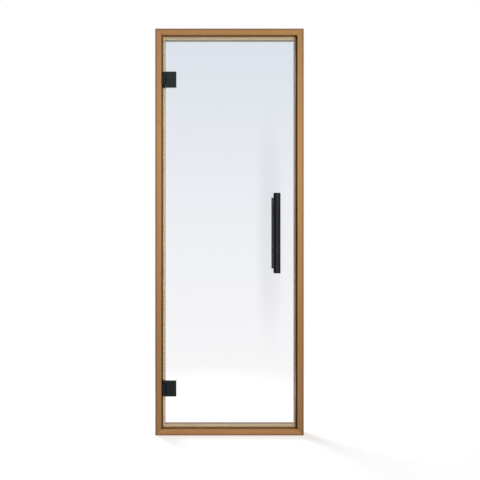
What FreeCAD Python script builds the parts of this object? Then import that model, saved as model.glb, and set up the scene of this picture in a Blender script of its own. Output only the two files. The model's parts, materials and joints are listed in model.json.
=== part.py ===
"""A glass sauna door, hung on two clamp hinges in its own rebated wooden frame.

Millimetres. X runs to the right and Z up as the door is seen from outside. The outside face looks
towards -Y. The origin is under the middle of the sill, half way through the frame's depth. A depth is
counted inwards from the frame's outside face, and an inset is counted from the frame's outer edge.
"""

import FreeCAD
import Part
import math
import os

from FreeCAD import Rotation, Vector

# Frame
door_width = 690.0
door_height = 1890.0
frame_depth = 60.0
lip_width = 30.0
stop_cover = 12.0
rebate_depth = 31.5
outer_edge_radius = 3.0
lip_edge_radius = 2.0
stop_edge_radius = 1.5
groove_width = 3.0
groove_depth = 5.0

# Screw holes that fasten the jambs to the wall
fixing_end_distance = 330.0
fixing_radius = 2.75

# Seal
seal_base_width = 11.4
seal_base_thickness = 2.0
seal_bulb_width = 6.0
seal_crest_radius = 2.8
seal_wall = 0.8
seal_stem_clearance = 0.1
seal_clearance = 1.4

# Glass
glass_thickness = 8.0
glass_depth = 10.0
glass_gap_hinge_side = 6.5
glass_gap_latch_side = 6.0
glass_gap_head = 5.0
glass_gap_sill = 5.0
glass_corner_dub = 3.0
glass_arris = 0.7

# Hinges
upper_hinge_drop = 237.0
lower_hinge_rise = 218.0
hinge_height = 72.0
knuckle_height = 42.0
knuckle_radius = 6.0
pin_radius = 3.5
knuckle_gap = 0.6
running_clearance = 0.05
leaf_thickness = 2.0
leaf_depth = 20.0
leaf_clearance = 5.0
leaf_corner_radius = 3.0
web_thickness = 6.0
plate_reach = 54.5
plate_slot = 3.0
plate_edge_chamfer = 0.8
back_plate_thickness = 5.0
back_plate_inset = 4.5
pad_thickness = 1.0
pad_margin = 1.0
pad_overreach = 4.0
pad_screw_gap = 2.0
clamp_screw_radius = 3.0
clamp_screw_clearance = 0.2
clamp_screw_spacing = 40.0
clamp_screw_setback = 30.0
clamp_screw_skin = 2.5
glass_hole_radius = 5.0

# Handle
handle_backset = 93.0
handle_height = 940.0
bar_radius = 16.0
bar_end_chamfer = 1.5
bar_standoff = 56.0
outer_bar_length = 365.0
inner_bar_length = 337.0
post_radius = 10.0
post_spacing = 212.0
saddle_clearance = 0.05
gasket_thickness = 0.8
stud_radius = 4.0
stud_grip = 16.0
stud_end_clearance = 1.0
thread_clearance = 0.05

# Places worked out from the sizes above
half_width = door_width / 2
front_y = -frame_depth / 2
lip_face_x = -half_width + lip_width
stop_inset = lip_width + stop_cover
seal_inset = lip_width + stop_cover / 2
pin_x = lip_face_x + leaf_thickness + leaf_clearance + knuckle_radius
plate_front_depth = glass_depth - pad_thickness - 2 * knuckle_radius
plate_end_x = pin_x + plate_reach
plate_start_x = pin_x + knuckle_radius + plate_slot
pin_depth = plate_front_depth + knuckle_radius
glass_back_depth = glass_depth + glass_thickness
glass_left = lip_face_x + glass_gap_hinge_side
glass_right = half_width - lip_width - glass_gap_latch_side
glass_bottom = lip_width + glass_gap_sill
glass_top = door_height - lip_width - glass_gap_head
handle_x = glass_right - handle_backset
clamp_screw_x = plate_end_x - clamp_screw_setback
hinge_centres = {"upper": door_height - upper_hinge_drop, "lower": lower_hinge_rise}
post_heights = {"upper": handle_height + post_spacing / 2, "lower": handle_height - post_spacing / 2}

# Each side of the frame: its length, its turn about Y, and the middle of its outer edge
sides = {
    "hinge_side": (door_height, 0, Vector(-half_width, 0, door_height / 2)),
    "latch_side": (door_height, 180, Vector(half_width, 0, door_height / 2)),
    "head": (door_width, 90, Vector(0, 0, door_height)),
    "sill": (door_width, -90, Vector(0, 0, 0)),
}
frame_nodes = {
    "hinge_side": "hinge_jamb",
    "latch_side": "latch_jamb",
    "head": "head_rail",
    "sill": "sill_rail",
}

along_x = Vector(1, 0, 0)
along_y = Vector(0, 1, 0)
along_z = Vector(0, 0, 1)


def at_depth(depth):
    """Y of a plane at this depth behind the frame's outside face."""
    return front_y + depth


def in_plan(x, y):
    """A point of a section that is drawn in plan and raised along Z."""
    return Vector(x, y, 0)


def in_elevation(x, z):
    """A point of an outline that is drawn as seen from outside and thickened along Y."""
    return Vector(x, 0, z)


def rounded_face(corners, point):
    """A flat face from (a, b, radius) corners, each rounded by its radius, placed by point(a, b)."""
    edges = []
    places = [point(a, b) for a, b, radius in corners]
    arrivals = []
    departures = []
    middles = []
    for index, place in enumerate(places):
        radius = corners[index][2]
        back = (places[index - 1] - place).normalize()
        ahead = (places[(index + 1) % len(places)] - place).normalize()
        half_angle = back.getAngle(ahead) / 2
        reach = radius / math.tan(half_angle)
        inward = (back + ahead).normalize()
        arrivals.append(place + back * reach)
        departures.append(place + ahead * reach)
        middles.append(place + inward * (radius / math.sin(half_angle) - radius))
    for index, corner in enumerate(corners):
        if corner[2] > 0:
            edges.append(Part.Arc(arrivals[index], middles[index], departures[index]).toShape())
        following = arrivals[(index + 1) % len(corners)]
        edges.append(Part.LineSegment(departures[index], following).toShape())
    return Part.Face(Part.Wire(edges))


def rectangle(left, right, low, high):
    """A rectangular outline drawn in elevation."""
    corners = [(left, low, 0), (right, low, 0), (right, high, 0), (left, high, 0)]
    return rounded_face(corners, in_elevation)


def slab(face, start_depth, thickness):
    """An outline drawn in elevation, thickened inwards from a depth."""
    solid = face.extrude(along_y * thickness)
    solid.translate(Vector(0, at_depth(start_depth), 0))
    return solid


def edges_at(solid, axis, value):
    """The edges of a solid that lie in one plane square to an axis."""
    return [
        edge
        for edge in solid.Edges
        if all(abs(vertex.Point.dot(axis) - value) < 1e-6 for vertex in edge.Vertexes)
    ]


def mitred_member(section, length):
    """A section swept along Z and cut at 45 degrees at both ends, its outer edge at X = 0."""
    end = length / 2
    reach = 2 * stop_inset
    bar = section.extrude(along_z * length)
    bar.translate(along_z * -end)
    trapezium = [(0, -end, 0), (reach, -end + reach, 0), (reach, end - reach, 0), (0, end, 0)]
    mitre = rounded_face(trapezium, in_elevation).extrude(along_y * 2 * frame_depth)
    mitre.translate(along_y * -frame_depth)
    return bar.common(mitre)


def on_side(member, side):
    """A mitred member turned and moved to its side of the frame."""
    turn, place = sides[side][1:]
    member.Placement = FreeCAD.Placement(place, Rotation(along_y, turn))
    return member


def frame_section():
    """The rebated section of jambs and rails: a lip, a stop, and the seal's groove in the stop."""
    groove_start = seal_inset - groove_width / 2
    groove_end = seal_inset + groove_width / 2
    stop_y = at_depth(rebate_depth)
    groove_y = at_depth(rebate_depth + groove_depth)
    back_y = at_depth(frame_depth)
    corners = [
        (0, front_y, outer_edge_radius),
        (lip_width, front_y, lip_edge_radius),
        (lip_width, stop_y, 0),
        (groove_start, stop_y, 0),
        (groove_start, groove_y, 0),
        (groove_end, groove_y, 0),
        (groove_end, stop_y, 0),
        (stop_inset, stop_y, stop_edge_radius),
        (stop_inset, back_y, lip_edge_radius),
        (0, back_y, 0),
    ]
    return rounded_face(corners, in_plan)


def build_frame():
    """The four mitred members, the jambs with their fixing holes."""
    members = {}
    for side, node in frame_nodes.items():
        members[node] = on_side(mitred_member(frame_section(), sides[side][0]), side)
    hole_depth = (rebate_depth + frame_depth) / 2
    for node, outward in (("hinge_jamb", -1), ("latch_jamb", 1)):
        for height in (fixing_end_distance, door_height - fixing_end_distance):
            start = Vector(outward * (half_width - stop_inset), at_depth(hole_depth), height)
            hole = Part.makeCylinder(fixing_radius, stop_inset, start, along_x * outward)
            members[node] = members[node].cut(hole)
    return members


def seal_sections():
    """The flat base with the stem that is pushed into the stop's groove, and the hollow bulb on it."""
    stop_y = at_depth(rebate_depth)
    base_y = stop_y - seal_base_thickness
    half_base = seal_base_width / 2
    half_stem = groove_width / 2 - seal_stem_clearance
    stem_y = stop_y + groove_depth - seal_stem_clearance
    corners = [
        (seal_inset - half_base, base_y, 0),
        (seal_inset + half_base, base_y, 0),
        (seal_inset + half_base, stop_y, 0),
        (seal_inset + half_stem, stop_y, 0),
        (seal_inset + half_stem, stem_y, 0),
        (seal_inset - half_stem, stem_y, 0),
        (seal_inset - half_stem, stop_y, 0),
        (seal_inset - half_base, stop_y, 0),
    ]
    base = rounded_face(corners, in_plan)
    return base, bulb_face(0, base_y).cut(bulb_face(seal_wall, base_y))


def bulb_face(depth, base_y):
    """The bulb's outline at this depth under its skin, with a round crest towards the glass."""
    left = seal_inset - seal_bulb_width / 2 + depth
    right = seal_inset + seal_bulb_width / 2 - depth
    crest_y = at_depth(glass_back_depth) + seal_clearance + depth
    radius = seal_crest_radius - depth
    corners = [(left, base_y, 0), (left, crest_y, radius), (right, crest_y, radius), (right, base_y, 0)]
    return rounded_face(corners, in_plan)


def build_seals():
    """One seal along each stop, mitred at the corners like the frame."""
    seals = {}
    for side in sides:
        base, bulb = [mitred_member(section, sides[side][0]) for section in seal_sections()]
        seals[side + "_seal"] = on_side(base.fuse(bulb).removeSplitter(), side)
    return seals


def build_glass():
    """The pane with polished arrises, drilled for the clamp screws and the handle's studs."""
    outline = rectangle(glass_left, glass_right, glass_bottom, glass_top)
    pane = slab(outline, glass_depth, glass_thickness)
    corners = [edge for edge in pane.Edges if edge.Length < glass_thickness + glass_corner_dub]
    pane = pane.makeChamfer(glass_corner_dub, corners)
    rims = edges_at(pane, along_y, at_depth(glass_depth))
    rims += edges_at(pane, along_y, at_depth(glass_back_depth))
    pane = pane.makeChamfer(glass_arris, rims)
    holes = [place for centre in hinge_centres.values() for place in clamp_screw_places(centre)]
    holes += [(handle_x, height) for height in post_heights.values()]
    for x, z in holes:
        start = Vector(x, at_depth(glass_depth) - glass_thickness, z)
        pane = pane.cut(Part.makeCylinder(glass_hole_radius, 3 * glass_thickness, start, along_y))
    return {"glass_pane": pane}


def clamp_screw_places(centre):
    """Where the two clamp screws of the hinge at this height stand, as seen from outside."""
    half = clamp_screw_spacing / 2
    return [(clamp_screw_x, centre + half), (clamp_screw_x, centre - half)]


def build_frame_leaf(centre):
    """The leaf on the lip's inner face, and the middle knuckle that its web carries."""
    half = hinge_height / 2
    outline = rounded_face(
        [
            (front_y + outer_edge_radius, centre - half, 0),
            (at_depth(leaf_depth), centre - half, leaf_corner_radius),
            (at_depth(leaf_depth), centre + half, leaf_corner_radius),
            (front_y + outer_edge_radius, centre + half, 0),
        ],
        lambda y, z: Vector(lip_face_x, y, z),
    )
    leaf = outline.extrude(along_x * leaf_thickness)
    low = centre - knuckle_height / 2
    web_start = Vector(lip_face_x, at_depth(pin_depth) - web_thickness / 2, low)
    web = Part.makeBox(pin_x - lip_face_x, web_thickness, knuckle_height, web_start)
    base = Vector(pin_x, at_depth(pin_depth), low)
    barrel = Part.makeCylinder(knuckle_radius, knuckle_height, base, along_z)
    bore = Part.makeCylinder(pin_radius + running_clearance, knuckle_height, base, along_z)
    return leaf.fuse(web).fuse(barrel).cut(bore).removeSplitter()


def build_pin(centre):
    """The pin through all three knuckles, flush with the ears."""
    base = Vector(pin_x, at_depth(pin_depth), centre - hinge_height / 2)
    return Part.makeCylinder(pin_radius, hinge_height, base, along_z)


def build_front_plate(centre):
    """The outer clamp plate, whose two ears are rounded about the pin above and below the knuckle."""
    half = hinge_height / 2
    slot_half = knuckle_height / 2 + knuckle_gap
    corners = [
        (pin_x, centre - half, 0),
        (plate_end_x, centre - half, 0),
        (plate_end_x, centre + half, 0),
        (pin_x, centre + half, 0),
        (pin_x, centre + slot_half, 0),
        (plate_start_x, centre + slot_half, 0),
        (plate_start_x, centre - slot_half, 0),
        (pin_x, centre - slot_half, 0),
    ]
    plate = slab(rounded_face(corners, in_elevation), plate_front_depth, 2 * knuckle_radius)
    rims = edges_at(plate, along_y, at_depth(plate_front_depth))
    rims = [edge for edge in rims if edge.BoundBox.XMax > pin_x + plate_edge_chamfer]
    plate = plate.makeChamfer(plate_edge_chamfer, rims)
    inner = pin_radius + running_clearance
    for low, high in ((centre - half, centre - slot_half), (centre + slot_half, centre + half)):
        base = Vector(pin_x, at_depth(pin_depth), low)
        plate = plate.fuse(Part.makeCylinder(knuckle_radius, high - low, base, along_z))
        plate = plate.cut(Part.makeCylinder(inner, high - low, base, along_z))
    threaded = 2 * knuckle_radius - clamp_screw_skin
    for x, z in clamp_screw_places(centre):
        start = Vector(x, at_depth(plate_front_depth + clamp_screw_skin), z)
        tapped = Part.makeCylinder(clamp_screw_radius + thread_clearance, threaded, start, along_y)
        plate = plate.cut(tapped)
    return plate.removeSplitter()


def build_back_plate(centre):
    """The smaller inner clamp plate, through which the clamp screws are put in."""
    half = hinge_height / 2 - back_plate_inset
    start_depth = glass_back_depth + pad_thickness
    outline = rectangle(plate_start_x, plate_end_x - back_plate_inset, centre - half, centre + half)
    plate = slab(outline, start_depth, back_plate_thickness)
    rims = edges_at(plate, along_y, at_depth(start_depth + back_plate_thickness))
    plate = plate.makeChamfer(plate_edge_chamfer, rims)
    radius = clamp_screw_radius + clamp_screw_clearance
    for x, z in clamp_screw_places(centre):
        start = Vector(x, at_depth(start_depth), z)
        plate = plate.cut(Part.makeCylinder(radius, back_plate_thickness, start, along_y))
    return plate


def build_pads(centre, start_depth, start_x, margin):
    """Two soft strips between a clamp plate and the glass, one on each side of the screws."""
    half = hinge_height / 2 - margin
    room = clamp_screw_radius + pad_screw_gap
    spans = (
        (start_x, clamp_screw_x - room),
        (clamp_screw_x + room, plate_end_x - margin),
    )
    strips = []
    for left, right in spans:
        outline = rectangle(left, right, centre - half, centre + half)
        strips.append(slab(outline, start_depth, pad_thickness))
    return Part.makeCompound(strips)


def build_hinge(name, centre):
    """Every piece of one hinge."""
    front_pads = build_pads(
        centre, glass_depth - pad_thickness, plate_start_x - pad_overreach, pad_margin
    )
    back_pads = build_pads(
        centre, glass_back_depth, plate_start_x + pad_margin, back_plate_inset + pad_margin
    )
    return {
        name + "_hinge_frame_leaf": build_frame_leaf(centre),
        name + "_hinge_pin": build_pin(centre),
        name + "_hinge_front_plate": build_front_plate(centre),
        name + "_hinge_back_plate": build_back_plate(centre),
        name + "_hinge_front_pads": front_pads,
        name + "_hinge_back_pads": back_pads,
    }


def build_bar(axis_y, length):
    """A round grip bar, flat at both ends with a small chamfer."""
    low = handle_height - length / 2
    bar = Part.makeCylinder(bar_radius, length, Vector(handle_x, axis_y, low), along_z)
    ends = edges_at(bar, along_z, low) + edges_at(bar, along_z, low + length)
    return bar.makeChamfer(bar_end_chamfer, ends)


def build_post(glass_y, outward, height):
    """A post from just off the glass to the bar, hollowed to fit the bar and drilled for the stud."""
    start = Vector(handle_x, glass_y + outward * gasket_thickness, height)
    reach = bar_standoff - gasket_thickness
    post = Part.makeCylinder(post_radius, reach, start, along_y * outward)
    bar_axis = Vector(handle_x, glass_y + outward * bar_standoff, height - 2 * post_radius)
    saddle = Part.makeCylinder(bar_radius + saddle_clearance, 4 * post_radius, bar_axis, along_z)
    grip = stud_grip + stud_end_clearance
    bore = Part.makeCylinder(stud_radius + thread_clearance, grip, start, along_y * outward)
    return post.cut(saddle).cut(bore)


def build_stud(height):
    """The threaded rod that joins the outer and the inner post through the glass."""
    over = gasket_thickness + stud_grip
    start = Vector(handle_x, at_depth(glass_depth) - over, height)
    return Part.makeCylinder(stud_radius, glass_thickness + 2 * over, start, along_y)


def build_handle():
    """A long bar outside, a shorter one inside, and what ties them through the glass."""
    pieces = {}
    faces = {
        "outer": (at_depth(glass_depth), -1, outer_bar_length),
        "inner": (at_depth(glass_back_depth), 1, inner_bar_length),
    }
    for name, (glass_y, outward, length) in faces.items():
        pieces[name + "_handle_bar"] = build_bar(glass_y + outward * bar_standoff, length)
        for level, height in post_heights.items():
            pieces[name + "_handle_" + level + "_post"] = build_post(glass_y, outward, height)
    for level, height in post_heights.items():
        pieces["handle_" + level + "_stud"] = build_stud(height)
    return pieces


def build_door():
    """Every piece of the door set by its name."""
    pieces = build_frame()
    pieces.update(build_seals())
    pieces.update(build_glass())
    for name, centre in hinge_centres.items():
        pieces.update(build_hinge(name, centre))
    pieces.update(build_handle())
    return pieces


os.makedirs("parts", exist_ok=True)
for node, shape in build_door().items():
    shape.exportStep("parts/" + node + ".step")
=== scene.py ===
"""A glass sauna door in its wooden frame: its finishes, its small fittings, the studio and the camera.

Metres, in the frame's own axes. X runs to the right and Z up as the door is seen from outside, and the
outside face looks towards -Y. The door stands on the floor at Z = 0.
"""

import json
import logging
import math
from collections.abc import Callable, Sequence
from dataclasses import dataclass, field
from enum import Enum

import bmesh
import bpy
from mathutils import Matrix, Vector

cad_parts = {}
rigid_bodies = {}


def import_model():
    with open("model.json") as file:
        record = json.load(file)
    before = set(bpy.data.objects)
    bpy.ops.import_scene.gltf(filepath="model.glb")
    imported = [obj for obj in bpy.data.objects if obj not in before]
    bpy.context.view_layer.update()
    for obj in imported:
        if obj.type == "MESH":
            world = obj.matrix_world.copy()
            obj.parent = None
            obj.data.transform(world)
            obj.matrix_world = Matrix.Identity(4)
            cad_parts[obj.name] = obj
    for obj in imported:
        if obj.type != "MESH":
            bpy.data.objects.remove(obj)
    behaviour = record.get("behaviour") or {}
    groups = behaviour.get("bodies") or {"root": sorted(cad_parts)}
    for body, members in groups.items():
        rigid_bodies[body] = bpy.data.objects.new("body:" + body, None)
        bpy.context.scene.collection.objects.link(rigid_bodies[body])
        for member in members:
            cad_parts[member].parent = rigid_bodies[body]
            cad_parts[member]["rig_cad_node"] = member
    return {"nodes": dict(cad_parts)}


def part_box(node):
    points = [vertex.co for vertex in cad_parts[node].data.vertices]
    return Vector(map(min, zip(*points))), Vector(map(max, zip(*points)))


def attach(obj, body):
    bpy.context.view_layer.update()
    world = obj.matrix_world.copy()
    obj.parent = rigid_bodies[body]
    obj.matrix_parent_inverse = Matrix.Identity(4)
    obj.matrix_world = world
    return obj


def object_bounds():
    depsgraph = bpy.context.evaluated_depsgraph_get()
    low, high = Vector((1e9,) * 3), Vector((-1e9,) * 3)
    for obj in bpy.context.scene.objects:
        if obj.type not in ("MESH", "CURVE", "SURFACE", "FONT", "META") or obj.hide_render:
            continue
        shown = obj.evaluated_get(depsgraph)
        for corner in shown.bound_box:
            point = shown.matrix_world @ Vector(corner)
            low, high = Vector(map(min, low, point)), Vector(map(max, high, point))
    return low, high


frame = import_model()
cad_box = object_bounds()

LOG = logging.getLogger("sauna_door")
MM = 0.001
IMAGE_PIXELS = 480

Colour = tuple[float, float, float, float]
Socket = bpy.types.NodeSocket

WHITE: Colour = (1.0, 1.0, 1.0, 1.0)
BLACK: Colour = (0.0, 0.0, 0.0, 1.0)
# Shares of the door's height that bound the painted height shade: full at the foot below the first, none at
# the second, full at the head at the top.
DEEPEST_SHARE = 0.26
PALEST_SHARE = 0.72
CREASE_DEGREES = 32
MERGE_DISTANCE = 1e-6


class Body(Enum):
    """The two parts that move against each other."""

    FRAME = "frame"
    LEAF = "door_leaf"


class Grain(Enum):
    """The way a piece of wood is laid, as the turn that brings its grain upright."""

    UPRIGHT = (0.0, 0.0, 0.0)
    LEVEL = (0.0, math.pi / 2, 0.0)


class Drive(Enum):
    """The recess in a screw's head, as the share by which its wall draws in between its lobes."""

    HEXAGON = 0.0
    SIX_LOBE = 0.14


def display(red: float, green: float, blue: float) -> Colour:
    """Turns a colour as a screen shows it into the linear values of a shader.

    Args:
        red: Red from 0 to 255.
        green: Green from 0 to 255.
        blue: Blue from 0 to 255.

    Returns:
        The colour in linear light, with a full alpha.
    """

    def linear(value: float) -> float:
        """One channel in linear light."""
        share = value / 255
        return share / 12.92 if share <= 0.04045 else ((share + 0.055) / 1.055) ** 2.4

    return (linear(red), linear(green), linear(blue), 1.0)


class Nodes:
    """Adds nodes to one tree and links them."""

    def __init__(self, tree: bpy.types.NodeTree) -> None:
        """Takes the tree to fill and empties it."""
        self.tree = tree
        tree.nodes.clear()

    def add(self, kind: str, sockets: dict[int | str, object] | None = None,
            **settings: object) -> bpy.types.Node:
        """Adds one node.

        Args:
            kind: The node's type without its ShaderNode prefix, or a full type name.
            sockets: Inputs by name or index; a socket is linked and any other value is set.
            settings: Attributes of the node.

        Returns:
            The new node.
        """
        full = kind if kind.startswith("Node") else "ShaderNode" + kind
        node = self.tree.nodes.new(full)
        for name, value in settings.items():
            setattr(node, name, value)
        for key, value in (sockets or {}).items():
            if isinstance(value, bpy.types.NodeSocket):
                self.tree.links.new(value, node.inputs[key])
            else:
                node.inputs[key].default_value = value
        return node

    def math(self, operation: str, *values: Socket | float, clamp: bool = False) -> Socket:
        """Adds a Math node and returns its result."""
        sockets = dict(enumerate(values))
        return self.add("Math", sockets, operation=operation, use_clamp=clamp).outputs[0]

    def mix(self, share: Socket | float, first: Socket | Colour, second: Socket | Colour,
            blend: str = "MIX") -> Socket:
        """Mixes two colours and returns the result."""
        sockets = {0: share, 6: first, 7: second}
        return self.add("Mix", sockets, data_type="RGBA", blend_type=blend).outputs[2]

    def span(self, value: Socket, start: Socket | float, end: Socket | float, low: float = 0.0,
             high: float = 1.0, smooth: bool = True) -> Socket:
        """Maps start to end onto low to high, clamped.

        Args:
            value: The value to map.
            start: The value that becomes low.
            end: The value that becomes high.
            low: The result at start and before it.
            high: The result at end and past it.
            smooth: Whether the result eases in and out.

        Returns:
            The result.
        """
        kind = "SMOOTHSTEP" if smooth else "LINEAR"
        sockets = {0: value, 1: start, 2: end, 3: low, 4: high}
        return self.add("MapRange", sockets, interpolation_type=kind).outputs[0]

    def layered(self, colour: Socket, *layers: tuple[Socket, float, Socket | Colour]) -> Socket:
        """Lays tones over a colour, one after the other.

        Args:
            colour: The colour below.
            layers: For each tone its mask, the share of the mask that counts, and the tone.

        Returns:
            The colour with its layers.
        """
        for mask, share, tone in layers:
            colour = self.mix(self.math("MULTIPLY", mask, share), colour, tone)
        return colour

    def use(self, group: bpy.types.NodeTree, **inputs: Socket | float) -> list[Socket]:
        """Places a shared effect and returns its outputs."""
        return list(self.add("Group", inputs, node_tree=group).outputs)

    def noise(self, vector: Socket, scale: float, detail: float = 2.0, rough: float = 0.5) -> Socket:
        """Adds a noise texture and returns its value."""
        sockets = {"Vector": vector, "Scale": scale, "Detail": detail, "Roughness": rough}
        return self.add("TexNoise", sockets).outputs[0]

    def stretched(self, vector: Socket, scale: tuple[float, float, float],
                  turn: tuple[float, float, float] = (0.0, 0.0, 0.0),
                  shift: tuple[float, float, float] = (0.0, 0.0, 0.0)) -> Socket:
        """Turns, shifts and scales a vector and returns the result."""
        sockets = {"Vector": vector, "Location": shift, "Rotation": turn, "Scale": scale}
        return self.add("Mapping", sockets).outputs[0]

    def parts(self, vector: Socket) -> list[Socket]:
        """Splits a vector into its three parts."""
        return list(self.add("SeparateXYZ", {0: vector}).outputs)

    def place(self) -> Socket:
        """Returns the place on the piece in the frame's axes."""
        return self.add("TexCoord").outputs["Object"]

    def bump(self, height: Socket, depth: float, strength: float = 1.0) -> Socket:
        """Turns a height into a normal and returns it."""
        sockets = {"Height": height, "Distance": depth, "Strength": strength}
        return self.add("Bump", sockets).outputs[0]


def effect(name: str, inputs: dict[str, tuple[str, object]], outputs: dict[str, str],
           fill: Callable[[Nodes, dict[str, Socket]], dict[str, Socket]]) -> bpy.types.NodeTree:
    """Makes a shared effect as a shader node group.

    Args:
        name: The group's name.
        inputs: For each input its socket type and its default.
        outputs: For each output its socket type.
        fill: Builds the nodes from the group's inputs and returns the group's outputs.

    Returns:
        The node group.
    """
    group = bpy.data.node_groups.new(name, "ShaderNodeTree")
    nodes = Nodes(group)
    for title, (kind, default) in inputs.items():
        socket = group.interface.new_socket(name=title, in_out="INPUT", socket_type=kind)
        if default is not None:
            socket.default_value = default
    for title, kind in outputs.items():
        group.interface.new_socket(name=title, in_out="OUTPUT", socket_type=kind)
    entry = nodes.add("NodeGroupInput")
    results = fill(nodes, {title: entry.outputs[title] for title in inputs})
    nodes.add("NodeGroupOutput", results)
    return group


@dataclass(frozen=True)
class Effects:
    """The surface effects that several finishes share."""

    grain: bpy.types.NodeTree
    arris: bpy.types.NodeTree
    crevice: bpy.types.NodeTree
    joinery: bpy.types.NodeTree
    dust: bpy.types.NodeTree
    skin: bpy.types.NodeTree

    @staticmethod
    def build() -> "Effects":
        """Builds every shared effect once.

        Returns:
            The shared effects.
        """
        number = "NodeSocketFloat"
        vector = "NodeSocketVector"
        return Effects(
            grain=effect(
                "straight_grain",
                {"Vector": (vector, None), "Rings": (number, 260.0), "Wander": (number, 4 * MM)},
                {"Late Wood": number, "Flow": number, "Pores": number},
                Effects.fill_grain),
            arris=effect(
                "worn_arris", {"Radius": (number, 1.5 * MM), "Vector": (vector, None)},
                {"Mask": number}, Effects.fill_arris),
            crevice=effect(
                "shaded_crevice", {"Distance": (number, 6 * MM)}, {"Mask": number}, Effects.fill_crevice),
            joinery=effect(
                "frame_joinery",
                {"Vector": (vector, None), "Width": (number, 0.6 * MM), "Reach": (number, 18 * MM),
                 "Start": (number, 27.5 * MM)},
                {"Mitre": number, "Shaded Outer Edge": number, "Recess": number, "Reveal Sheen": number},
                Effects.fill_joinery),
            dust=effect(
                "settled_dust", {"Vector": (vector, None)}, {"Mask": number}, Effects.fill_dust),
            skin=effect(
                "moulded_skin", {"Vector": (vector, None), "Scale": (number, 900.0)},
                {"Height": number, "Blotch": number}, Effects.fill_skin),
        )

    @staticmethod
    def fill_grain(nodes: Nodes, given: dict[str, Socket]) -> dict[str, Socket]:
        """Growth rings, broad tone and fine pores of straight-grained wood that runs along Z.

        Args:
            nodes: The group's nodes.
            given: The group's inputs by name.

        Returns:
            The group's outputs by name.
        """
        flow_scale, bend_scale, pore_scale = (22.0, 22.0, 0.9), (9.0, 9.0, 1.4), (1300.0, 1300.0, 24.0)
        broad = nodes.noise(nodes.stretched(given["Vector"], flow_scale), 1.0, 3.0, 0.55)
        bend = nodes.noise(nodes.stretched(given["Vector"], bend_scale), 1.0, 2.0)
        across, through, _ = nodes.parts(given["Vector"])
        drift = nodes.math("MULTIPLY", nodes.math("SUBTRACT", bend, 0.5), given["Wander"])
        lean = nodes.math("MULTIPLY_ADD", through, 0.45, across)
        ring = nodes.math("MULTIPLY", nodes.math("MULTIPLY_ADD", drift, 6.0, lean), given["Rings"])
        uneven = nodes.math("MULTIPLY_ADD", broad, 2.6, ring)
        saw = nodes.math("FRACT", uneven)
        rise = nodes.math("POWER", saw, 2.2)
        fall = nodes.span(saw, 0.93, 1.0, 1.0, 0.0)
        late = nodes.math("MULTIPLY", rise, fall)
        streak = nodes.noise(nodes.stretched(given["Vector"], pore_scale), 1.0, 2.0, 0.6)
        pores = nodes.span(streak, 0.58, 0.74)
        return {"Late Wood": late, "Flow": broad, "Pores": pores}

    @staticmethod
    def fill_arris(nodes: Nodes, given: dict[str, Socket]) -> dict[str, Socket]:
        """Where a sharp edge is rubbed, broken up by noise.

        Args:
            nodes: The group's nodes.
            given: The group's inputs by name.

        Returns:
            The group's outputs by name.
        """
        flat = nodes.add("NewGeometry").outputs["Normal"]
        eased = nodes.add("Bevel", {"Radius": given["Radius"]}, samples=4).outputs[0]
        alike = nodes.add("VectorMath", {0: flat, 1: eased}, operation="DOT_PRODUCT").outputs["Value"]
        bent = nodes.span(alike, 0.998, 0.9)
        patchy = nodes.span(nodes.noise(given["Vector"], 60.0, 4.0, 0.65), 0.35, 0.65, 0.25, 1.0)
        return {"Mask": nodes.math("MULTIPLY", bent, patchy)}

    @staticmethod
    def fill_crevice(nodes: Nodes, given: dict[str, Socket]) -> dict[str, Socket]:
        """Painted shade where a surface lies close to another."""
        open_share = nodes.add("AmbientOcclusion", {"Distance": given["Distance"]}, samples=8).outputs["AO"]
        return {"Mask": nodes.span(open_share, 0.8, 0.2)}

    @staticmethod
    def fill_joinery(nodes: Nodes, given: dict[str, Socket]) -> dict[str, Socket]:
        """The hairline along the mitres, the outer edge painted darker as shade, the painted shade in the
        rebate and the painted sheen on the reveal.

        Args:
            nodes: The group's nodes.
            given: The group's inputs by name.

        Returns:
            The group's outputs by name.
        """
        across, depth, height = nodes.parts(given["Vector"])
        inset = nodes.math("SUBTRACT", cad_box[1].x, nodes.math("ABSOLUTE", across))
        from_end = nodes.math("SUBTRACT", half_height(), from_middle(nodes, height))
        off_mitre = nodes.math("ABSOLUTE", nodes.math("SUBTRACT", inset, from_end))
        mitre = nodes.span(nodes.math("DIVIDE", off_mitre, given["Width"]), 0.4, 1.4, 1.0, 0.0)
        from_rim = nodes.math("MINIMUM", inset, from_end)
        # Painted shade along the rounded outer edge, on faces that look out.
        rim = nodes.span(from_rim, 5 * MM, 10.5 * MM, 1.0, 0.0)
        normal = nodes.add("NewGeometry").outputs["Normal"]
        front = nodes.span(nodes.math("ABSOLUTE", nodes.parts(normal)[1]), 0.1, 0.6)
        shade_top = cad_front() + 8 * MM
        shade_end = nodes.math("ADD", given["Reach"], shade_top)
        deep = nodes.span(depth, shade_top, shade_end, 1.0, 0.0)
        past_lip = nodes.span(from_rim, given["Start"], nodes.math("ADD", given["Start"], 1 * MM))
        before_stop = nodes.span(from_rim, 34 * MM, 40 * MM, 1.0, 0.0)
        recess = nodes.math("MULTIPLY", nodes.math("MULTIPLY", deep, past_lip), before_stop)
        # The reveal's mask carries painted sheen, the grey that grazing light gives the lacquer.
        return {"Mitre": mitre,
                "Shaded Outer Edge": nodes.math("MULTIPLY", rim, front),
                "Recess": recess,
                "Reveal Sheen": nodes.span(from_rim, 41.2 * MM, 41.8 * MM)}

    @staticmethod
    def fill_dust(nodes: Nodes, given: dict[str, Socket]) -> dict[str, Socket]:
        """A thin film where a face looks up.

        Args:
            nodes: The group's nodes.
            given: The group's inputs by name.

        Returns:
            The group's outputs by name.
        """
        normal = nodes.add("NewGeometry").outputs["Normal"]
        upward = nodes.span(nodes.parts(normal)[2], 0.55, 0.98)
        cloud = nodes.span(nodes.noise(given["Vector"], 35.0, 5.0, 0.6), 0.3, 0.75)
        return {"Mask": nodes.math("MULTIPLY", upward, cloud)}

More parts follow.
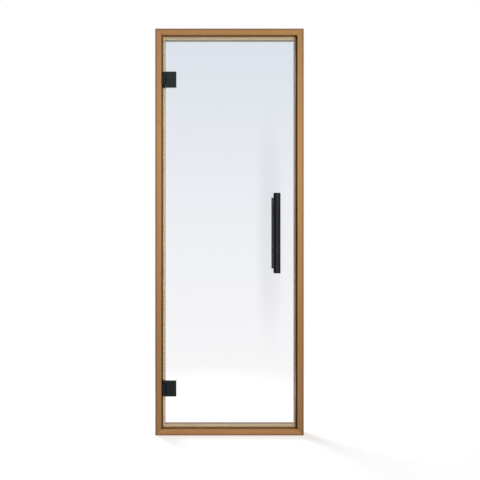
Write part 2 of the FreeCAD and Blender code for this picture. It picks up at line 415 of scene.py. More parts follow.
    @staticmethod
    def fill_skin(nodes: Nodes, given: dict[str, Socket]) -> dict[str, Socket]:
        """The fine pebble of a coated or moulded surface and its slow change of tone.

        Args:
            nodes: The group's nodes.
            given: The group's inputs by name.

        Returns:
            The group's outputs by name.
        """
        moved = nodes.add("VectorMath", {0: given["Vector"], "Scale": given["Scale"]},
                          operation="SCALE").outputs[0]
        pebble = nodes.noise(moved, 1.0, 2.0, 0.45)
        blotch = nodes.noise(given["Vector"], 14.0, 4.0, 0.6)
        return {"Height": pebble, "Blotch": blotch}


def new_material(name: str) -> tuple[bpy.types.Material, Nodes]:
    """Makes an empty node material.

    Args:
        name: The material's name.

    Returns:
        The material and its nodes.
    """
    material = bpy.data.materials.new(name)
    material.use_nodes = True
    return material, Nodes(material.node_tree)


def cad_front() -> float:
    """Y of the wooden frame's outside face."""
    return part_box("hinge_jamb")[0].y


def half_height() -> float:
    """Half the height of the door."""
    low, high = cad_box
    return (high.z - low.z) / 2


def from_middle(nodes: Nodes, height: Socket) -> Socket:
    """How far a height is from the middle of the door, up or down."""
    middle = cad_box[0].z + half_height()
    return nodes.math("ABSOLUTE", nodes.math("SUBTRACT", height, middle))


def painted_height_shade(nodes: Nodes, place: Socket, colour: Socket, foot: Colour, head: Colour) -> Socket:
    """Paints shade over a colour towards the foot and the head of the door, as the light falls off there.

    Args:
        nodes: The material's nodes.
        place: The place on the piece.
        colour: The colour where it is palest.
        foot: The share of it that the painted shade keeps at the foot.
        head: The share of it that the painted shade keeps at the head.

    Returns:
        The colour with its painted shade.
    """
    low, high = cad_box[0].z, cad_box[1].z
    deepest = low + DEEPEST_SHARE * (high - low)
    palest = low + PALEST_SHARE * (high - low)
    height = nodes.parts(place)[2]
    towards_foot = nodes.span(height, deepest, palest, 1.0, 0.0, smooth=False)
    towards_head = nodes.span(height, palest, high, smooth=False)
    colour = nodes.mix(towards_foot, colour, foot, "MULTIPLY")
    return nodes.mix(towards_head, colour, head, "MULTIPLY")


@dataclass(frozen=True)
class WoodFinish:
    """Lacquered straight-grained wood of one member of the frame, with painted shade on its outer edge and
    in its rebate and painted sheen on its reveal.
    """

    name: str
    grain: Grain
    early: Colour
    late: Colour
    # The dark tone of pores and of rubbed arrises, which is also the painted shade along the outer edge.
    worn: Colour
    shift: tuple[float, float, float]
    foot: Colour
    head: Colour
    shade: float
    shade_reach: float
    shade_start: float = 27.5 * MM
    shade_tone: Colour = display(92, 42, 0)
    # Painted sheen on the reveal: grey where grazing light catches the lacquer.
    reveal_sheen_tone: Colour = display(166, 162, 140)
    reveal_sheen_share: float = 0.5
    joint_tone: Colour = display(70, 44, 22)
    joint_share: float = 0.6
    pore_share: float = 0.28
    arris_share: float = 0.25
    rim_shade_share: float = 0.6
    roughness: float = 0.46
    gloss: float = 0.16
    coat: float = 0.25
    coat_roughness: float = 0.38
    pore_depth: float = 0.12 * MM

    def build(self, effects: Effects) -> bpy.types.Material:
        """Builds the material.

        Args:
            effects: The shared effects.

        Returns:
            The material.
        """
        material, nodes = new_material(self.name)
        place = nodes.place()
        laid = nodes.stretched(place, (1.0, 1.0, 1.0), self.grain.value, self.shift)
        late, flow, pores = nodes.use(effects.grain, Vector=laid)
        arris = nodes.use(effects.arris, Vector=place)[0]
        joint, rim, recess, reveal = nodes.use(
            effects.joinery, Vector=place, Reach=self.shade_reach, Start=self.shade_start)
        share = nodes.math("MULTIPLY_ADD", late, 0.55, nodes.math("MULTIPLY", flow, 0.5), clamp=True)
        colour = nodes.mix(share, self.early, self.late)
        colour = nodes.layered(colour, (pores, self.pore_share, self.worn))
        # Painted shade towards the foot and the head of the door.
        colour = painted_height_shade(nodes, place, colour, self.foot, self.head)
        # Over the wear and the joints: painted shade on the outer edge and in the rebate, and painted sheen
        # on the reveal.
        colour = nodes.layered(
            colour,
            (arris, self.arris_share, self.worn),
            (rim, self.rim_shade_share, self.worn),
            (recess, self.shade, self.shade_tone),
            (reveal, self.reveal_sheen_share, self.reveal_sheen_tone),
            (joint, self.joint_share, self.joint_tone))
        rough = nodes.math("MULTIPLY_ADD", late, -0.08, self.roughness)
        rough = nodes.math("MULTIPLY_ADD", pores, 0.14, rough)
        rough = nodes.math("MULTIPLY_ADD", recess, 0.4, rough, clamp=True)
        raised = nodes.math("MULTIPLY_ADD", late, 0.35, nodes.math("MULTIPLY", pores, -1.0))
        raised = nodes.math("MULTIPLY_ADD", joint, -1.5, raised)
        shader = nodes.add("BsdfPrincipled", {
            "Base Color": colour,
            "Roughness": rough,
            "Specular IOR Level": self.gloss,
            "Coat Weight": nodes.math("MULTIPLY_ADD", recess, -self.coat, self.coat),
            "Coat Roughness": self.coat_roughness,
            "Normal": nodes.bump(raised, self.pore_depth),
        })
        nodes.add("OutputMaterial", {"Surface": shader.outputs[0]})
        return material


@dataclass(frozen=True)
class CoatedMetal:
    """Matt black powder coat on metal, greyer indoors with a painted reflection of the glass before it, and
    darker on its flanks as painted shade.
    """

    name: str
    colour: Colour
    rubbed: Colour
    gloss: float
    roughness: float
    foot: Colour
    indoor_reflection: float = 0.0
    flank_shade: float = 0.0
    reflection_tone: Colour = display(92, 92, 93)
    flank_tone: Colour = display(12, 12, 12)
    # The tone of the painted shade in crevices.
    crevice_tone: Colour = display(8, 9, 9)
    crevice_share: float = 0.85
    crevice_reach: float = 8 * MM
    dust_tone: Colour = display(150, 146, 138)
    dust_share: float = 0.07
    rub_share: float = 0.6
    rub_radius: float = 0.7 * MM
    pebble_scale: float = 1100.0
    pebble_depth: float = 0.06 * MM

    def build(self, effects: Effects) -> bpy.types.Material:
        """Builds the material.

        Args:
            effects: The shared effects.

        Returns:
            The material.
        """
        material, nodes = new_material(self.name)
        place = nodes.place()
        height, blotch = nodes.use(effects.skin, Vector=place, Scale=self.pebble_scale)
        arris = nodes.use(effects.arris, Vector=place, Radius=self.rub_radius)[0]
        dust = nodes.use(effects.dust, Vector=place)[0]
        crevice = nodes.use(effects.crevice, Distance=self.crevice_reach)[0]
        # Indoors the coat is painted paler, as the glass's reflection over it; its outer flanks carry
        # painted shade.
        indoors = nodes.span(nodes.parts(place)[1], 0.0, 10 * MM)
        outdoors = nodes.math("SUBTRACT", 1.0, indoors)
        sideways = nodes.math("ABSOLUTE", nodes.parts(nodes.add("TexCoord").outputs["Normal"])[0])
        flank = nodes.math("MULTIPLY", nodes.span(sideways, 0.1, 0.65), outdoors)
        colour = nodes.mix(nodes.span(blotch, 0.3, 0.7, 0.0, 0.35), self.colour, self.rubbed)
        colour = nodes.layered(
            colour, (arris, self.rub_share, self.rubbed), (dust, self.dust_share, self.dust_tone))
        # Painted shade towards the foot of the door.
        colour = painted_height_shade(nodes, place, colour, self.foot, WHITE)
        # Painted reflection indoors, painted shade on the flanks and in the crevices.
        colour = nodes.layered(
            colour,
            (indoors, self.indoor_reflection, self.reflection_tone),
            (flank, self.flank_shade, self.flank_tone),
            (crevice, self.crevice_share, self.crevice_tone))
        rough = nodes.math("MULTIPLY_ADD", blotch, 0.12, self.roughness)
        shader = nodes.add("BsdfPrincipled", {
            "Base Color": colour,
            "Roughness": rough,
            "Specular IOR Level": self.gloss,
            "Normal": nodes.bump(height, self.pebble_depth, 0.6),
        })
        nodes.add("OutputMaterial", {"Surface": shader.outputs[0]})
        return material


@dataclass(frozen=True)
class BareSteel:
    """Turned or drawn steel, bright or blackened, with fine tool marks across its lay."""

    name: str
    colour: Colour
    roughness: float
    lay: tuple[float, float, float]
    bright_tone: Colour = (0.8, 0.8, 0.8, 1.0)
    mark_tone: Colour = (0.72, 0.72, 0.74, 1.0)
    mark_depth: float = 0.02 * MM
    rub_share: float = 0.7
    rub_radius: float = 0.4 * MM

    def build(self, effects: Effects) -> bpy.types.Material:
        """Builds the material.

        Args:
            effects: The shared effects.

        Returns:
            The material.
        """
        material, nodes = new_material(self.name)
        place = nodes.place()
        lines = nodes.noise(nodes.stretched(place, self.lay), 1.0, 3.0, 0.6)
        arris = nodes.use(effects.arris, Vector=place, Radius=self.rub_radius)[0]
        bright = nodes.mix(0.5, self.colour, self.bright_tone)
        darker = nodes.mix(1.0, self.colour, self.mark_tone, "MULTIPLY")
        colour = nodes.mix(nodes.span(lines, 0.3, 0.7), darker, self.colour)
        colour = nodes.layered(colour, (arris, self.rub_share, bright))
        rough = nodes.math("MULTIPLY_ADD", lines, 0.16, self.roughness)
        shader = nodes.add("BsdfPrincipled", {
            "Base Color": colour,
            "Metallic": 1.0,
            "Roughness": rough,
            "Normal": nodes.bump(lines, self.mark_depth, 0.5),
        })
        nodes.add("OutputMaterial", {"Surface": shader.outputs[0]})
        return material


@dataclass(frozen=True)
class SoftProfile:
    """Extruded silicone or moulded rubber, with painted shade beside the latch jamb and painted light where
    it lies level.
    """

    name: str
    colour: Colour
    aged: Colour
    roughness: float
    gloss: float
    foot: Colour
    # The tone of the painted shade in crevices.
    crevice_shade: Colour
    lip_tone: Colour = display(134, 76, 14)
    # Painted light on the seal along the head and the sill.
    level_light_gain: Colour = (1.24, 1.19, 1.08, 1.0)
    crevice_share: float = 0.5
    crevice_reach: float = 5 * MM
    dust_tone: Colour = display(128, 120, 108)
    dust_share: float = 0.1
    pebble_scale: float = 1600.0
    pebble_depth: float = 0.04 * MM

    @staticmethod
    def lip_shade(nodes: Nodes, place: Socket) -> Socket:
        """How far the latch jamb's lip shades the seal beside it, which is more the lower it lies.

        Args:
            nodes: The material's nodes.
            place: The place on the piece.

        Returns:
            The shade, from nought to one.
        """
        across, _, height = nodes.parts(place)
        rim = cad_box[1].x
        beside = nodes.span(across, rim - 45 * MM, rim - 35 * MM)
        lower = nodes.span(height, 450 * MM, 1500 * MM, 0.95, 0.3, smooth=False)
        return nodes.math("MULTIPLY", beside, lower)

    @staticmethod
    def lies_level(nodes: Nodes, place: Socket) -> Socket:
        """One along the head and the sill, and otherwise nought."""
        away = from_middle(nodes, nodes.parts(place)[2])
        return nodes.span(away, half_height() - 43 * MM, half_height() - 41 * MM)

    def build(self, effects: Effects) -> bpy.types.Material:
        """Builds the material.

        Args:
            effects: The shared effects.

        Returns:
            The material.
        """
        material, nodes = new_material(self.name)
        place = nodes.place()
        height, blotch = nodes.use(effects.skin, Vector=place, Scale=self.pebble_scale)
        dust = nodes.use(effects.dust, Vector=place)[0]
        crevice = nodes.use(effects.crevice, Distance=self.crevice_reach)[0]
        colour = nodes.mix(nodes.span(blotch, 0.3, 0.75, 0.0, 0.6), self.colour, self.aged)
        colour = nodes.layered(colour, (dust, self.dust_share, self.dust_tone))
        # Painted shade towards the foot of the door.
        colour = painted_height_shade(nodes, place, colour, self.foot, WHITE)
        # Painted shade of the latch jamb's lip, deeper lower down.
        colour = nodes.mix(self.lip_shade(nodes, place), colour, self.lip_tone)
        # Painted light: the seal along the head and the sill is made paler.
        colour = nodes.mix(self.lies_level(nodes, place), colour, self.level_light_gain, "MULTIPLY")
        # Painted shade in the crevices.
        colour = nodes.layered(colour, (crevice, self.crevice_share, self.crevice_shade))
        rough = nodes.math("MULTIPLY_ADD", blotch, 0.15, self.roughness)
        shader = nodes.add("BsdfPrincipled", {
            "Base Color": colour,
            "Roughness": rough,
            "Specular IOR Level": self.gloss,
            "Normal": nodes.bump(height, self.pebble_depth, 0.5),
        })
        nodes.add("OutputMaterial", {"Surface": shader.outputs[0]})
        return material


@dataclass(frozen=True)
class ClearGlass:
    """Toughened float glass, green in its edges, with a painted reflection that deepens it towards the head
    and a painted shadow of the handle round it.

    Its edges, matt from grinding, carry painted shade at the latch side, the head and the sill,
    and stay clearer at the hinge side as a painted highlight.
    """

    name: str
    # Colours of the painted reflection at the head, the middle and the foot of the pane.
    head_reflection_tint: Colour
    middle_reflection_tint: Colour
    foot_reflection_tint: Colour
    edge_tint: Colour
    # The painted shade of the edges at the latch side, the head and the sill.
    shaded_edge_tint: Colour
    # The painted shadow of the handle on the glass: its middle, its reach and its depth.
    handle_shadow_middle: tuple[float, float, float] = (0.187, -0.016, 0.93)
    handle_shadow_reach: tuple[float, float, float] = (0.082, 1.0, 0.66)
    handle_shadow_depth: float = 0.1
    shadow_tint: Colour = (0.93, 0.95, 0.95, 1.0)

    def painted_reflection_by_height(self, nodes: Nodes, place: Socket) -> Socket:
        """The painted reflection from the foot over the middle to the head of the pane.

        Args:
            nodes: The material's nodes.
            place: The place on the piece.

        Returns:
            The painted reflection, as a colour.
        """
        low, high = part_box("glass_pane")
        middle = (low.z + high.z) / 2
        height = nodes.parts(place)[2]
        lower = nodes.span(height, low.z, middle, smooth=False)
        upper = nodes.span(height, middle, high.z, smooth=False)
        return nodes.mix(upper, nodes.mix(lower, self.foot_reflection_tint, self.middle_reflection_tint), self.head_reflection_tint)

    def painted_handle_shadow(self, nodes: Nodes, place: Socket) -> Socket:
        """How far the painted shadow of the handle darkens the glass round it.

        Args:
            nodes: The material's nodes.
            place: The place on the piece.

        Returns:
            The share of black that the painted shadow lays over the glass.
        """
        offset = nodes.add("VectorMath", {0: place, 1: self.handle_shadow_middle}, operation="SUBTRACT").outputs[0]
        reach = nodes.add("VectorMath", {0: offset, 1: self.handle_shadow_reach}, operation="DIVIDE").outputs[0]
        away = nodes.add("VectorMath", {0: reach}, operation="LENGTH").outputs["Value"]
        return nodes.span(away, 0.25, 1.0, self.handle_shadow_depth, 0.0)

    @staticmethod
    def edges(nodes: Nodes) -> tuple[Socket, Socket]:
        """Where the glass has its edges, and where these carry painted shade.

        Args:
            nodes: The material's nodes.

        Returns:
            The mask of the edges and the mask of the shaded ones.
        """
        across, outward, upward = nodes.parts(nodes.add("TexCoord").outputs["Normal"])
        level = nodes.span(nodes.math("ABSOLUTE", upward), 0.1, 0.5)
        shaded_side = nodes.math("MAXIMUM", nodes.span(across, 0.1, 0.5), level)
        flat = nodes.math("MULTIPLY_ADD", shaded_side, -0.25, nodes.math("ABSOLUTE", outward))
        return nodes.span(flat, 0.5, 0.75, 1.0, 0.0), shaded_side

    def build(self, effects: Effects) -> bpy.types.Material:
        """Builds the material.

        Args:
            effects: The shared effects.

        Returns:
            The material.
        """
        material, nodes = new_material(self.name)
        place = nodes.place()
        edge, shaded_side = self.edges(nodes)
        # The painted reflection by height and the painted shadow of the handle.
        painted_tint = nodes.mix(self.painted_handle_shadow(nodes, place), self.painted_reflection_by_height(nodes, place), BLACK)
        # Painted shade on the edges at the latch side, the head and the sill; a clearer edge at the hinge
        # side as a painted highlight.
        edge_light_and_shade = nodes.mix(shaded_side, self.edge_tint, self.shaded_edge_tint)
        colour = nodes.mix(edge, painted_tint, edge_light_and_shade)
        film = nodes.noise(place, 5.0, 4.0, 0.6)
        rough = nodes.math("MULTIPLY_ADD", edge, 0.14, nodes.span(film, 0.5, 0.9, 0.0, 0.012))
        shader = nodes.add("BsdfPrincipled", {
            "Base Color": colour,
            "Roughness": rough,
            "IOR": 1.5,
            "Transmission Weight": 1.0,
            "Normal": nodes.bump(film, 0.02 * MM, 0.2),
        })
        clear = nodes.add("BsdfTransparent", {"Color": self.shadow_tint})
        shadow = nodes.add("LightPath").outputs["Is Shadow Ray"]
        either = nodes.add("MixShader", {0: shadow, 1: shader.outputs[0], 2: clear.outputs[0]})
        nodes.add("OutputMaterial", {"Surface": either.outputs[0]})
        return material


class Finishes:
    """Every material of the door, by the record's slot."""

    def __init__(self, effects: Effects) -> None:
        """Builds the materials from the shared effects.

        Args:
            effects: The shared effects.
        """
        upright, level = Grain.UPRIGHT, Grain.LEVEL
        # The jambs and rails differ partly as boards differ and partly as painted light: the latch jamb is
        # kept darker against the lamp on its side, and the rails differ as their level grain takes the
        # light.
        honey = (display(206, 160, 109), display(160, 114, 67), display(102, 80, 58))
        russet = (display(200, 155, 104), display(154, 109, 63), display(102, 80, 58))
        amber = (display(210, 157, 104), display(165, 115, 69), display(106, 84, 62))
        # Shares of each colour that the painted shade keeps at the foot and at the head, the last for the
        # head rail.
        foot = (0.74, 0.7, 0.63, 1.0)
        head = (0.86, 0.86, 0.83, 1.0)
        head_rail_shade = (0.77, 0.78, 0.78, 1.0)
        finishes = (
            WoodFinish("hinge_jamb_wood", upright, *honey, shift=(0.013, 0.0, 0.4), foot=foot, head=head,
                       shade=0.75, shade_reach=16 * MM),
            WoodFinish("latch_jamb_wood", upright, *russet, shift=(0.087, 0.031, 2.9), foot=foot, head=head,
                       shade=0.8, shade_reach=60 * MM, shade_start=29.4 * MM),
            WoodFinish("head_rail_wood", level, *amber, shift=(0.21, 0.05, 5.3), foot=WHITE, head=head_rail_shade,
                       shade=0.1, shade_reach=16 * MM, shade_start=29.4 * MM),
            WoodFinish("sill_rail_wood", level, *amber, shift=(0.33, 0.09, 8.1), foot=WHITE, head=WHITE,
                       shade=0.15, shade_reach=16 * MM, shade_start=28.5 * MM,
                       # At the sill the painted reveal is darker and greener.
                       reveal_sheen_tone=display(64, 86, 78)),
            # The seal's foot share paints shade towards the foot.
            SoftProfile("seal", display(230, 207, 166), display(214, 190, 146), roughness=0.55, gloss=0.15,
                        foot=(0.78, 0.79, 0.82, 1.0), crevice_shade=display(110, 76, 40)),
            # The lower hinge is painted darker by its foot share, as shade.
            CoatedMetal("hinge_black", display(42, 46, 47), display(58, 61, 62), gloss=0.1, roughness=0.5,
                        foot=(0.6, 0.6, 0.6, 1.0)),
            # The handle carries a painted reflection indoors and painted shade on its flanks.
            CoatedMetal("handle_black", display(46, 46, 47), display(64, 64, 65), gloss=0.08, roughness=0.5,
                        foot=WHITE, indoor_reflection=0.8, flank_shade=0.85),
            BareSteel("pin_steel", display(54, 54, 56), roughness=0.26, lay=(40.0, 40.0, 900.0)),
            BareSteel("zinc_steel", display(176, 180, 184), roughness=0.3, lay=(700.0, 60.0, 700.0)),
            SoftProfile("black_rubber", display(20, 20, 21), display(34, 33, 32), roughness=0.72, gloss=0.2,
                        foot=WHITE, crevice_shade=display(12, 12, 12)),
            # The glass's colours by height are a painted reflection.
            ClearGlass("clear_glass", head_reflection_tint=display(218, 225, 233), middle_reflection_tint=display(237, 239, 243),
                       foot_reflection_tint=display(251, 248, 249), edge_tint=display(104, 132, 114),
                       shaded_edge_tint=display(88, 88, 52)),
        )
        self.by_slot: dict[str, bpy.types.Material] = {}
        for finish in finishes:
            self.by_slot[finish.name] = finish.build(effects)
            LOG.info("finish %s", finish.name)
        screw_steel = BareSteel("blackened_steel", display(58, 58, 60), roughness=0.34,
                                lay=(500.0, 500.0, 500.0))
        self.blackened = screw_steel.build(effects)

    def dress_nodes(self) -> None:
        """Gives every CAD node the material of its slot."""
        for name, node in frame["nodes"].items():
            slot = node.material_slots[0].material.name.split(".")[0]
            slot_name = slot if slot in self.by_slot else node["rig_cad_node"]
            node.data.materials[0] = self.by_slot[slot_name]
            LOG.info("node %s dressed in %s", name, slot_name)


@dataclass
class Turning:
    """A piece turned about its own axis, made by spinning a profile."""

    profile: Sequence[tuple[float, float]]
    segments: int
    closed: bool = False

    def build(self) -> bmesh.types.BMesh:
        """Spins the profile about Z.

        Returns:
            The turned shape, with its seam and poles merged.
        """
        shape = bmesh.new()
        points = [shape.verts.new((radius, 0.0, height)) for radius, height in self.profile]
        pairs = list(zip(points, points[1:]))
        if self.closed:
            pairs.append((points[-1], points[0]))
        edges = [shape.edges.new(pair) for pair in pairs]
        bmesh.ops.spin(shape, geom=points + edges, cent=(0, 0, 0), axis=(0, 0, 1),
                       angle=2 * math.pi, steps=self.segments, use_merge=True)
        bmesh.ops.remove_doubles(shape, verts=shape.verts, dist=MERGE_DISTANCE)
        return shape


class SmallPiece:
    """A small piece that is built along Z and put on its seat."""

    def build(self) -> bmesh.types.BMesh:
        """Builds the shape with its seat at Z = 0."""
        raise NotImplementedError

    def place(self, name: str, body: Body, slot: str, material: bpy.types.Material, seat: Vector,
              axis: Vector) -> bpy.types.Object:
        """Builds the piece on its seat.

        Args:
            name: The piece's name.
            body: The part that it rides on.
            slot: Not used; the record's slot that its finish would come from.
            material: Its material.
            seat: The place of its seat's middle.
            axis: The way from its seat to its top.

        Returns:
            The piece.
        """
        shape = self.build()
        stand = Matrix.Translation(seat) @ axis.to_track_quat("Z", "Y").to_matrix().to_4x4()
        bmesh.ops.transform(shape, matrix=stand, verts=shape.verts)
        bmesh.ops.recalc_face_normals(shape, faces=shape.faces)
        mesh = bpy.data.meshes.new(name)
        shape.to_mesh(mesh)
        shape.free()
        mesh.shade_smooth()
        mesh.set_sharp_from_angle(angle=math.radians(CREASE_DEGREES))
        mesh.materials.append(material)
        piece = bpy.data.objects.new(name, mesh)
        bpy.context.scene.collection.objects.link(piece)
        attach(piece, body.value)
        LOG.info("piece %s: %d faces on %s", name, len(mesh.polygons), body.value)
        return piece


@dataclass
class SocketScrew(SmallPiece):
    """A screw whose head has a hexagon or six-lobe socket. Its seat is at Z = 0."""

    head_radius: float
    head_height: float
    socket_radius: float
    socket_depth: float
    shank_radius: float
    shank_length: float
    drive: Drive
    seat_depth: float = 0.0
    head_ease: float = 0.15 * MM
    flank_share: float = 0.12
    crown_steps: int = 7
    segments: int = 48

    def profile(self) -> list[tuple[float, float]]:
        """The outline from the tip of the shank up over the head to the rim of the socket.

        Returns:
            Pairs of a radius and a height.
        """
        shank, tip = self.shank_radius, -self.shank_length
        points = [
            (0.0, tip),
            (0.75 * shank, tip),
            (shank, tip + 0.3 * shank),
            (shank, -self.seat_depth),
            (self.head_radius - self.head_ease, 0.0),
            (self.head_radius, self.flank_share * self.head_height),
        ]
        flat = self.socket_radius * 1.25
        for step in range(1, self.crown_steps + 1):
            angle = step / self.crown_steps * math.pi / 2
            radius = flat + (self.head_radius - flat) * math.cos(angle)
            share = self.flank_share + (1 - self.flank_share) * math.sin(angle)
            points.append((radius, self.head_height * share))
        points.append((self.socket_radius * 1.08, self.head_height))
        return points

    def socket_reach(self, angle: float) -> float:
        """How far the socket's wall is from the axis in this direction.

        Args:
            angle: The direction about the axis, in radians.

        Returns:
            The distance.
        """
        if self.drive is Drive.HEXAGON:
            within = (angle % (math.pi / 3)) - math.pi / 6
            return self.socket_radius * math.cos(math.pi / 6) / math.cos(within)
        return self.socket_radius * (1 - Drive.SIX_LOBE.value * (1 + math.cos(6 * angle)) / 2)

    def build(self) -> bmesh.types.BMesh:
        """Turns the screw and sinks the socket into its head.

        Returns:
            The screw standing along Z.
        """
        shape = Turning(self.profile(), self.segments).build()
        rim = [edge for edge in shape.edges if edge.is_boundary]
        for depth in (0.0, self.socket_depth):
            grown = bmesh.ops.extrude_edge_only(shape, edges=rim)["geom"]
            rim = [item for item in grown if isinstance(item, bmesh.types.BMEdge)]
            for vertex in {vertex for edge in rim for vertex in edge.verts}:
                angle = math.atan2(vertex.co.y, vertex.co.x)
                reach = self.socket_reach(angle)
                top = self.head_height - depth
                vertex.co = Vector((reach * math.cos(angle), reach * math.sin(angle), top))
        bmesh.ops.contextual_create(shape, geom=rim)
        return shape


@dataclass
class Ring(SmallPiece):
    """A flat ring with eased rims, such as a washer or a gasket, standing on Z = 0."""

    inner_radius: float
    outer_radius: float
    thickness: float
    segments: int = 48

    def build(self) -> bmesh.types.BMesh:
        """Turns the ring.

        Returns:
            The ring lying on Z = 0.
        """
        inner, outer, high = self.inner_radius, self.outer_radius, self.thickness
        ease = high / 4
        profile = [
            (inner, 0.0), (outer - ease, 0.0), (outer, ease),
            (outer, high - ease), (outer - ease, high), (inner, high),
        ]
        return Turning(profile, self.segments, closed=True).build()


@dataclass
class Hinge:
    """The screws and washers of one clamp hinge."""

    level: str
    clamp_screw_spread: float = 40 * MM
    clamp_screw_setback: float = 25.5 * MM
    leaf_screw_spread: float = 56 * MM
    leaf_screw_inset: float = 6.5 * MM
    washer_bore: float = 3.6 * MM
    washer_radius: float = 5.7 * MM
    washer_thickness: float = 0.5 * MM
    washer_play: float = 0.05 * MM
    knuckle_height: float = 42 * MM
    leaf_thickness: float = 2 * MM
    clamp_screw: SocketScrew = field(default_factory=lambda: SocketScrew(
        head_radius=5.2 * MM, head_height=3.0 * MM, socket_radius=2.3 * MM, socket_depth=1.9 * MM,
        shank_radius=2.9 * MM, shank_length=23.5 * MM, drive=Drive.HEXAGON))
    leaf_screw: SocketScrew = field(default_factory=lambda: SocketScrew(
        head_radius=3.3 * MM, head_height=0.45 * MM, socket_radius=1.5 * MM, socket_depth=1.1 * MM,
        shank_radius=1.9 * MM, shank_length=24.0 * MM, drive=Drive.SIX_LOBE, seat_depth=1.8 * MM))

    def node(self, part: str) -> tuple[Vector, Vector]:
        """The box of one of this hinge's nodes."""
        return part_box(f"{self.level}_hinge_{part}")

    def fit_clamp_screws(self, finishes: Finishes) -> None:
        """Puts the clamp screws through the back plate.

        Args:
            finishes: The finishes of the door.
        """
        low, high = self.node("back_plate")
        middle = (low.z + high.z) / 2
        for side, offset in (("high", 1), ("low", -1)):
            seat = Vector((high.x - self.clamp_screw_setback, high.y,
                           middle + offset * self.clamp_screw_spread / 2))
            self.clamp_screw.place(f"{self.level}_hinge_clamp_screw_{side}", Body.LEAF, "hinge_black",
                                   finishes.blackened, seat, Vector((0, 1, 0)))

    def fit_leaf_screws(self, finishes: Finishes) -> None:
        """Puts the wood screws through the frame leaf.

        Args:
            finishes: The finishes of the door.
        """
        low, high = self.node("frame_leaf")
        middle = (low.z + high.z) / 2
        leaf_face = low.x + self.leaf_thickness
        for side, offset in (("high", 1), ("low", -1)):
            seat = Vector((leaf_face, high.y - self.leaf_screw_inset,
                           middle + offset * self.leaf_screw_spread / 2))
            self.leaf_screw.place(f"{self.level}_hinge_leaf_screw_{side}", Body.FRAME, "hinge_black",
                                  finishes.blackened, seat, Vector((1, 0, 0)))

    def fit_washers(self, finishes: Finishes) -> None:
        """Puts a bearing washer in each gap between the knuckles.

        Args:
            finishes: The finishes of the door.
        """
        pin_low, pin_high = self.node("pin")
        axis_x = (pin_low.x + pin_high.x) / 2
        axis_y = (pin_low.y + pin_high.y) / 2
        middle = (pin_low.z + pin_high.z) / 2
        over = self.knuckle_height / 2 + self.washer_play
        under = over + self.washer_thickness
        washer = Ring(self.washer_bore, self.washer_radius, self.washer_thickness)
        for side, base in (("high", middle + over), ("low", middle - under)):
            washer.place(f"{self.level}_hinge_washer_{side}", Body.FRAME, "black_rubber",
                         finishes.by_slot["black_rubber"], Vector((axis_x, axis_y, base)),
                         Vector((0, 0, 1)))

    def build(self, finishes: Finishes) -> None:
        """Adds every small piece of the hinge.

        Args:
            finishes: The finishes of the door.
        """
        self.fit_clamp_screws(finishes)
        self.fit_leaf_screws(finishes)
        self.fit_washers(finishes)


@dataclass
class Handle:
    """The gaskets that keep the handle's posts off the glass."""

    bore: float = 4.2 * MM
    radius: float = 9.9 * MM

    def build(self, finishes: Finishes) -> None:
        """Adds a gasket at the foot of each post.

        Args:
            finishes: The finishes of the door.
        """
        glass_low, glass_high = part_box("glass_pane")
        rubber = finishes.by_slot["black_rubber"]
        for side, glass_face, outward in (("outer", glass_low.y, -1), ("inner", glass_high.y, 1)):
            for level in ("upper", "lower"):
                low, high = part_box(f"{side}_handle_{level}_post")
                foot = high.y if outward < 0 else low.y
                seat = Vector(((low.x + high.x) / 2, glass_face, (low.z + high.z) / 2))
                gasket = Ring(self.bore, self.radius, abs(foot - glass_face))
                gasket.place(f"{side}_handle_{level}_gasket", Body.LEAF, "black_rubber", rubber,
                             seat, Vector((0, outward, 0)))


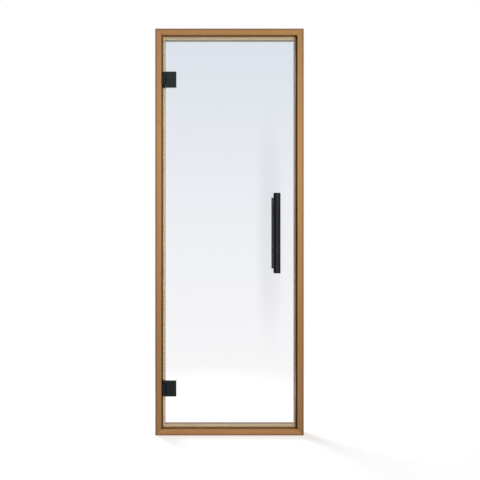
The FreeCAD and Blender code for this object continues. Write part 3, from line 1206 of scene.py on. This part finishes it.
@dataclass
class Studio:
    """A white room with a pale floor, soft lamps and the camera."""

    distance: float = 2.34
    eye_height: float = 0.945
    millimetres_per_pixel: float = 4.64
    shift_right: float = 10.5
    shift_down: float = 8.0
    floor_half: float = 30.0
    floor_near: float = 0.35
    floor_far: float = 1.3
    floor_lift: float = 0.63
    floor_tone: Colour = (0.8, 0.8, 0.8, 1.0)
    ambient: float = 0.12
    sensor: float = 36.0

    def place_camera(self) -> None:
        """Stands the camera in front of the middle of the door."""
        data = bpy.data.cameras.new("camera")
        data.sensor_width = self.sensor
        pixels = self.distance / (self.millimetres_per_pixel * MM)
        data.lens = pixels / IMAGE_PIXELS * self.sensor
        data.shift_x = self.shift_right / IMAGE_PIXELS
        data.shift_y = -self.shift_down / IMAGE_PIXELS
        data.clip_start = 0.05
        data.clip_end = 200.0
        camera = bpy.data.objects.new("camera", data)
        camera.location = (0.0, cad_front() - self.distance, self.eye_height)
        camera.rotation_euler = (math.pi / 2, 0.0, 0.0)
        bpy.context.scene.collection.objects.link(camera)
        bpy.context.scene.camera = camera
        LOG.info("camera at %s, lens %.2f", tuple(camera.location), data.lens)

    def seen(self, nodes: Nodes) -> Socket:
        """One where a ray comes from the camera, a reflection or through glass, and otherwise nought.

        Args:
            nodes: The material's nodes.

        Returns:
            The mask.
        """
        path = nodes.add("LightPath").outputs
        either = nodes.math("MAXIMUM", path["Is Camera Ray"], path["Is Glossy Ray"])
        return nodes.math("MAXIMUM", either, path["Is Transmission Ray"])

    def light_world(self) -> None:
        """Makes the room white to the eye and softly bright to what stands in it."""
        world = bpy.data.worlds.new("room")
        bpy.context.scene.world = world
        world.use_nodes = True
        nodes = Nodes(world.node_tree)
        dim = (self.ambient, self.ambient, self.ambient, 1.0)
        colour = nodes.mix(self.seen(nodes), dim, WHITE)
        glow = nodes.add("Background", {"Color": colour, "Strength": 1.0})
        nodes.add("OutputWorld", {"Surface": glow.outputs[0]})

    def lay_floor(self) -> None:
        """Lays a pale floor that keeps the door's shadow."""
        shape = bmesh.new()
        bmesh.ops.create_grid(shape, x_segments=1, y_segments=1, size=self.floor_half)
        mesh = bpy.data.meshes.new("floor")
        shape.to_mesh(mesh)
        shape.free()
        material, nodes = new_material("pale_floor")
        matt = nodes.add("BsdfDiffuse", {"Color": self.floor_tone})
        glow = nodes.add("Emission", {"Color": WHITE, "Strength": 1.0})
        away = nodes.add("VectorMath", {0: nodes.place()}, operation="LENGTH").outputs["Value"]
        seen = self.seen(nodes)
        strength = nodes.math("MULTIPLY", seen, self.floor_lift)
        lift = nodes.add("Emission", {"Color": WHITE, "Strength": strength})
        near = nodes.add("AddShader", {0: matt.outputs[0], 1: lift.outputs[0]})
        far = nodes.math("MULTIPLY", seen, nodes.span(away, self.floor_near, self.floor_far))
        both = nodes.add("MixShader", {0: far, 1: near.outputs[0], 2: glow.outputs[0]})
        nodes.add("OutputMaterial", {"Surface": both.outputs[0]})
        mesh.materials.append(material)
        floor = bpy.data.objects.new("floor", mesh)
        bpy.context.scene.collection.objects.link(floor)

    def hang(self, name: str, kind: str, place: tuple[float, float, float],
             target: tuple[float, float, float], power: float, **settings: object) -> None:
        """Hangs a lamp that lights the door and is seen nowhere itself.

        Args:
            name: The lamp's name.
            kind: AREA for a soft panel or SPOT for a pool of light.
            place: Where it hangs.
            target: What it looks at.
            power: Its power in watts.
            settings: The lamp's other attributes.
        """
        data = bpy.data.lights.new(name, kind)
        data.energy = power
        for key, value in settings.items():
            setattr(data, key, value)
        lamp = bpy.data.objects.new(name, data)
        lamp.location = place
        aim = Vector(target) - lamp.location
        lamp.rotation_euler = aim.to_track_quat("-Z", "Y").to_euler()
        lamp.visible_camera = False
        lamp.visible_glossy = False
        lamp.visible_transmission = False
        bpy.context.scene.collection.objects.link(lamp)
        LOG.info("lamp %s of %.0f W", name, power)

    def build(self) -> None:
        """Sets up the room, its lamps and the camera."""
        self.place_camera()
        self.light_world()
        self.lay_floor()
        middle = (0.0, 0.0, self.eye_height)
        self.hang("front_right", "SPOT", (4.4, -6.2, 1.3), (0.0, 0.0, 1.3), 2220.0,
                  spot_size=math.radians(32.0), spot_blend=1.0, shadow_soft_size=0.6)
        self.hang("front_left", "AREA", (-3.4, -3.6, 2.6), middle, 8.0, shape="SQUARE", size=3.0)
        self.hang("behind", "AREA", (-2.8, 3.4, 1.6), middle, 280.0, shape="SQUARE", size=2.4)


def main() -> None:
    """Sets up the studio and dresses the door, piece by piece."""
    logging.basicConfig(level=logging.INFO, format="%(message)s")
    bpy.context.scene.view_settings.view_transform = "Standard"
    Studio().build()
    finishes = Finishes(Effects.build())
    finishes.dress_nodes()
    for level in ("upper", "lower"):
        Hinge(level).build(finishes)
    Handle().build(finishes)


if __name__ == "__main__":
    main()
